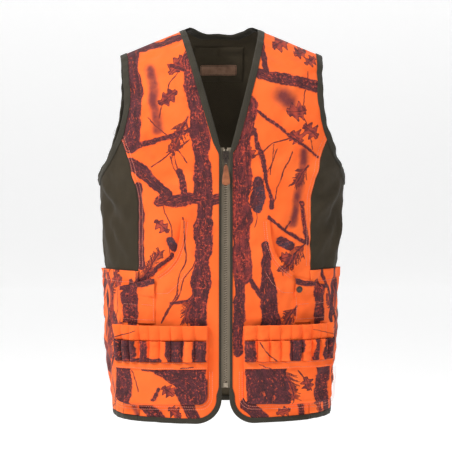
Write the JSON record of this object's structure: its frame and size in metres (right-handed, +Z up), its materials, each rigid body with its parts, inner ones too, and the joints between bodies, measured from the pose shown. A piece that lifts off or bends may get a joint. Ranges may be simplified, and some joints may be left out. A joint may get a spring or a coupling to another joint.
{
  "type": "hunting vest",
  "caption": "Blaze orange camouflage upland hunting vest: V-neck, full front zip, hand pockets, cargo pockets with elastic cartridge loops, wrap-round game bag and dark side panels.",
  "frame": {"origin": "between the shoulder seams, level with their neck ends, where the wearer's shoulders or a hanger carry the vest", "axes": "+Z up as worn, -Y out of the front, +X to the wearer's left"},
  "size_m": [0.4658, 0.3146, 0.7237],
  "materials": {
    "blaze_cloth": "brushed tricot printed with branches on blaze orange",
    "olive_cloth": "plain dark olive woven cloth",
    "binding_tape": "matt woven bias binding",
    "loop_elastic": "printed cloth gathered over elastic",
    "zip_tape": "woven polyester tape",
    "zip_plastic": "moulded plastic chain",
    "dark_metal": "aged bronze plate",
    "tan_leather": "smooth brown leather"
  },
  "bodies": {
    "back": {"back_panel": "olive_cloth", "side_panel_left": "olive_cloth", "side_panel_right": "olive_cloth", "game_bag": "blaze_cloth", "game_bag_hem": "blaze_cloth", "neck_facing": "olive_cloth", "neck_label": "tan_leather", "neck_binding_back": "binding_tape", "hem_binding_back": "binding_tape", "armhole_binding_back_left": "binding_tape", "armhole_binding_back_right": "binding_tape"},
    "front_left": {"front_panel_left": "blaze_cloth", "front_binding_left": "binding_tape", "armhole_binding_front_left": "binding_tape", "zip_tape_left": "zip_tape", "zip_teeth_left": "zip_plastic", "zip_top_stop_left": "zip_plastic", "hand_pocket_bag_left": "olive_cloth", "hand_pocket_welt_left": "blaze_cloth", "side_patch_left": "blaze_cloth", "cargo_gusset_left": "blaze_cloth", "cargo_pocket_left": "blaze_cloth", "cargo_hem_left": "loop_elastic", "loop_base_left": "loop_elastic", "loop_band_left": "loop_elastic", "zip_retainer_box": "zip_plastic", "snap_stud": "dark_metal"},
    "front_right": {"front_panel_right": "blaze_cloth", "front_binding_right": "binding_tape", "armhole_binding_front_right": "binding_tape", "zip_tape_right": "zip_tape", "zip_teeth_right": "zip_plastic", "zip_top_stop_right": "zip_plastic", "hand_pocket_bag_right": "olive_cloth", "hand_pocket_welt_right": "blaze_cloth", "side_patch_right": "blaze_cloth", "pocket_mouth_edge_right": "blaze_cloth", "cargo_gusset_right": "blaze_cloth", "cargo_pocket_right": "blaze_cloth", "cargo_hem_right": "loop_elastic", "loop_base_right": "loop_elastic", "loop_band_right": "loop_elastic", "zip_insertion_pin": "zip_plastic"},
    "pocket_mouth": {"pocket_mouth_edge_left": "blaze_cloth", "snap_cap": "dark_metal", "snap_socket": "dark_metal"},
    "zip_slider": {"zip_slider": "dark_metal"},
    "pull_tab": {"pull_tab": "dark_metal"},
    "leather_pull": {"leather_pull": "tan_leather"}
  },
  "joints": [
    {"name": "front_left_swing", "type": "hinge", "parent": "back", "child": "front_left", "pos_m": [0.212, 0.01, -0.36], "axis": [0, 0, 1], "range_deg": [0, 45]},
    {"name": "front_right_swing", "type": "hinge", "parent": "back", "child": "front_right", "pos_m": [-0.212, 0.01, -0.36], "axis": [0, 0, -1], "range_deg": [0, 45]},
    {"name": "zip_slide", "type": "slide", "parent": "front_left", "child": "zip_slider", "axis": [0, 0.016, -0.9999], "range_m": [0, 0.402], "deforming": ["zip_teeth_left", "zip_teeth_right", "zip_tape_left", "zip_tape_right"]},
    {"name": "pull_tab_swing", "type": "hinge", "parent": "zip_slider", "child": "pull_tab", "pos_m": [0, -0.13382, -0.22618], "axis": [-1, 0, 0], "range_deg": [0, 150]},
    {"name": "leather_pull_swing", "type": "hinge", "parent": "pull_tab", "child": "leather_pull", "pos_m": [0, -0.1368, -0.24798], "axis": [-1, 0, 0], "range_deg": [0, 100]},
    {"name": "pocket_mouth_unsnap", "type": "slide", "parent": "front_left", "child": "pocket_mouth", "axis": [0.3748, -0.9268, -0.0219], "range_m": [0, 0.012]}
  ],
  "couplings": [
    {"joint": "front_right_swing", "follows": "front_left_swing", "ratio": 1},
    {"joint": "zip_slide", "follows": "front_left_swing", "m_per_rad": 0.511}
  ]
}
